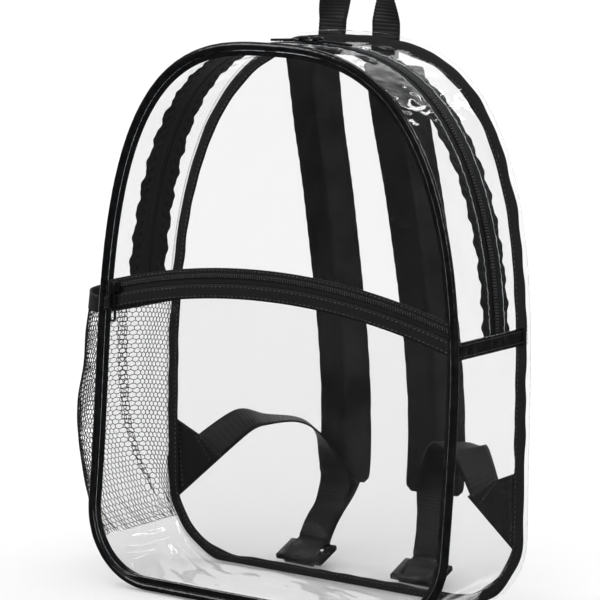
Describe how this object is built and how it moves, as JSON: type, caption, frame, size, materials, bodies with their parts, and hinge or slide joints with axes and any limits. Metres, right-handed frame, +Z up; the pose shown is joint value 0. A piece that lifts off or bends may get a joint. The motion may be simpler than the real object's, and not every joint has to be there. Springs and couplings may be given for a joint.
{
  "type": "clear stadium backpack",
  "caption": "Clear arch-topped backpack with black trim, front zip pocket, side net pocket, webbing handle and padded shoulder straps.",
  "frame": {"origin": "middle of the ground under the whole bag, net pocket and hanging straps included", "axes": "+X to the right seen from the front, -Y out of the front panel, +Z up"},
  "size_m": [0.3746, 0.1996, 0.5061],
  "materials": {
    "clear_vinyl": "clear glossy",
    "glossy_vinyl": "glossy",
    "black_webbing": "ribbed weave",
    "padded_cloth": "matte",
    "black_net": "open mesh",
    "zip_nylon": "satin",
    "black_metal": "satin",
    "black_plastic": "satin"
  },
  "bodies": {
    "root": {"front_panel": "clear_vinyl", "front_piping": "glossy_vinyl", "front_binding": "black_webbing", "pocket_panel": "clear_vinyl", "pocket_zip_tape_upper": "zip_nylon", "pocket_zip_teeth": "zip_nylon", "pocket_zip_tape_lower": "zip_nylon", "pocket_binding": "black_webbing", "pocket_slider": "black_metal", "pocket_pull": "black_metal", "gusset_base": "clear_vinyl", "gusset_front": "clear_vinyl", "gusset_back": "clear_vinyl", "zip_tape_front": "zip_nylon", "zip_binding_front": "black_webbing", "zip_tape_back": "zip_nylon", "zip_binding_back": "black_webbing", "zip_teeth": "zip_nylon", "zip_slider_left": "black_metal", "zip_pull_left": "black_metal", "zip_slider_right": "black_metal", "zip_pull_right": "black_metal", "side_band_right": "black_webbing", "side_band_left": "black_webbing", "net_pocket": "black_net", "net_pocket_band": "black_webbing", "back_panel": "clear_vinyl", "back_binding": "black_webbing", "handle": "black_webbing", "strap_pad_right": "padded_cloth", "lock_strap_right": "black_webbing", "ladder_lock_right": "black_plastic", "strap_tab_right": "black_webbing", "side_webbing_right": "black_webbing", "strap_pad_left": "padded_cloth", "lock_strap_left": "black_webbing", "ladder_lock_left": "black_plastic", "strap_tab_left": "black_webbing", "side_webbing_left": "black_webbing"}
  },
  "joints": []
}
